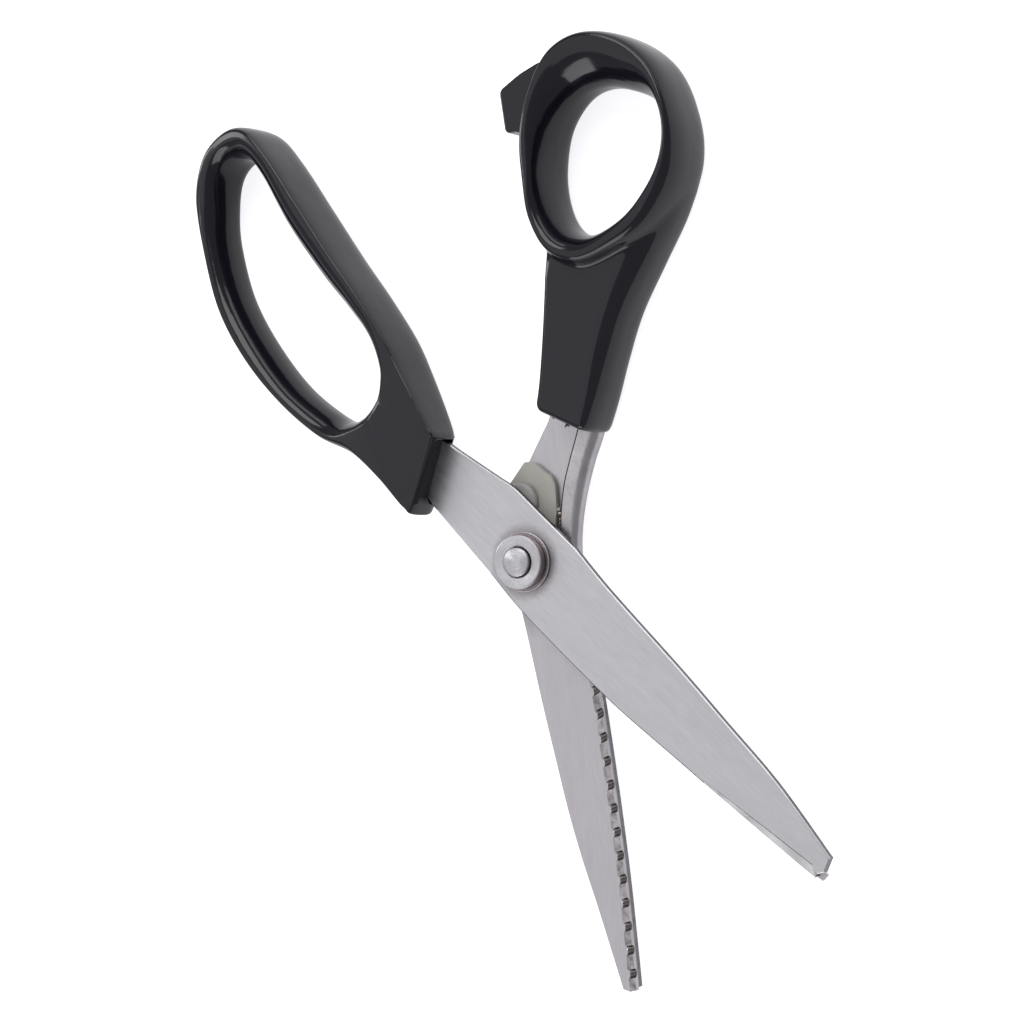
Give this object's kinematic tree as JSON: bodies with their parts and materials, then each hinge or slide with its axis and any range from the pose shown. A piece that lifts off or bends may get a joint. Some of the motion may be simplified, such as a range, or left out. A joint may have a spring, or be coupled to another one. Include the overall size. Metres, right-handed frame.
{
  "type": "pinking shears",
  "caption": "Fabric shears with scalloped teeth: two steel levers crossing on a pivot bolt, with a moulded thumb ring and a long finger loop.",
  "frame": {"origin": "on the pivot axis, at the underside of the bolt head, which is level with the undersides of the handles", "axes": "+Z along the pivot axis from the bolt head to the nut; +Y towards the thumb ring, -Y towards the tip of the lower blade, with the shears open as in use"},
  "size_m": [0.1723, 0.2205, 0.0181],
  "materials": {
    "brushed_steel": "stainless plate, brushed along the blade",
    "ground_steel": "ground and milled steel",
    "turned_steel": "turned and lightly polished",
    "black_plastic": "glossy moulded black",
    "nylon": "natural nylon, slightly dirty",
    "button_nylon": "grey nylon, polished by rubbing"
  },
  "bodies": {
    "lower_lever": {"lower_blade_plate": "brushed_steel", "lower_toothed_bar": "ground_steel", "thumb_handle": "black_plastic", "ride_pad": "nylon", "ride_button": "button_nylon", "pivot_bolt": "turned_steel", "spring_washer": "ground_steel", "pivot_bushing": "ground_steel", "pivot_spacer": "ground_steel", "nut_washer": "turned_steel", "pivot_nut": "turned_steel"},
    "upper_lever": {"upper_blade_plate": "brushed_steel", "upper_toothed_bar": "ground_steel", "finger_handle": "black_plastic"}
  },
  "joints": [
    {"name": "blade_pivot", "type": "hinge", "parent": "lower_lever", "child": "upper_lever", "pos_m": [0, 0, 0], "axis": [0, 0, 1], "range_deg": [-31, 23]}
  ]
}
